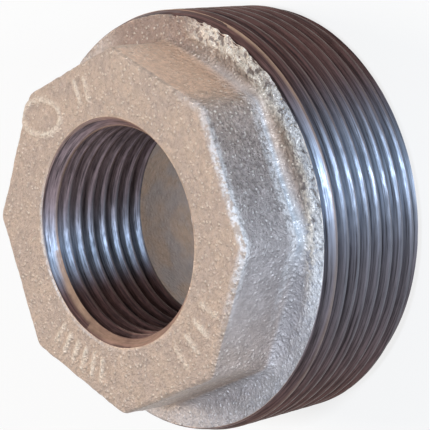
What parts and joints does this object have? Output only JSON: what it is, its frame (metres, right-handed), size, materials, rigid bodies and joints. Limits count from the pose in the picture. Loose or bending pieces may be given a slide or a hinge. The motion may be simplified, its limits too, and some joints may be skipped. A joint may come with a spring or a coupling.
{
  "type": "pipe reducing bushing",
  "caption": "Cast iron reducing bushing: octagonal wrench head on a round barrel, with a male taper pipe thread outside and a smaller female thread through the head.",
  "frame": {"origin": "centre of the barrel's end face, which is the lowest point of the part", "axes": "+Z along the common axis of both threads, from the barrel's end to the head face; +X and +Y square to two of the head's flats"},
  "size_m": [0.0604, 0.0605, 0.0312],
  "materials": {
    "zinc_coated_casting": "hot-dip galvanised casting, fine granular skin, satin",
    "cut_thread": "machined thread, dark oiled iron with bright crest lines"
  },
  "bodies": {
    "root": {"bushing": "zinc_coated_casting"}
  },
  "joints": []
}
